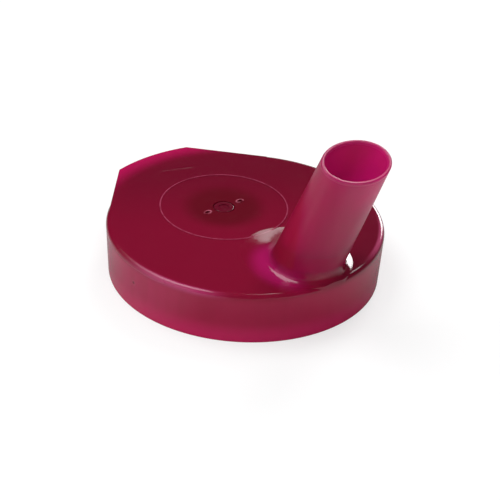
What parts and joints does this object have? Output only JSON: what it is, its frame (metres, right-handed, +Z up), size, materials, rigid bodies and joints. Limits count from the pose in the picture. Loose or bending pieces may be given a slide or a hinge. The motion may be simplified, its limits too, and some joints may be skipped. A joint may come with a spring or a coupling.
{
  "type": "spouted cup lid",
  "caption": "Shallow round push-on cup lid with a wide slanted oval spout, a lift tab opposite it and a floating air valve in the plate.",
  "frame": {"origin": "on the lid's axis, in the plane of the skirt's bottom edge", "axes": "+Z up out of the plate, +X from the lid's axis towards the spout"},
  "size_m": [0.0946, 0.0758, 0.0565],
  "materials": {
    "cap_plastic": "translucent crimson polypropylene, glossy",
    "spout_plastic": "translucent crimson polypropylene, satin",
    "valve_silicone": "soft crimson silicone",
    "seal_silicone": "soft milky silicone"
  },
  "bodies": {
    "lid": {"cap_shell": "cap_plastic", "spout": "spout_plastic", "seal_ring": "seal_silicone"},
    "valve": {"vent_valve": "valve_silicone"}
  },
  "joints": [
    {"name": "valve_lift", "type": "slide", "parent": "lid", "child": "valve", "axis": [0, 0, 1], "range_m": [0, 0.0005]}
  ]
}
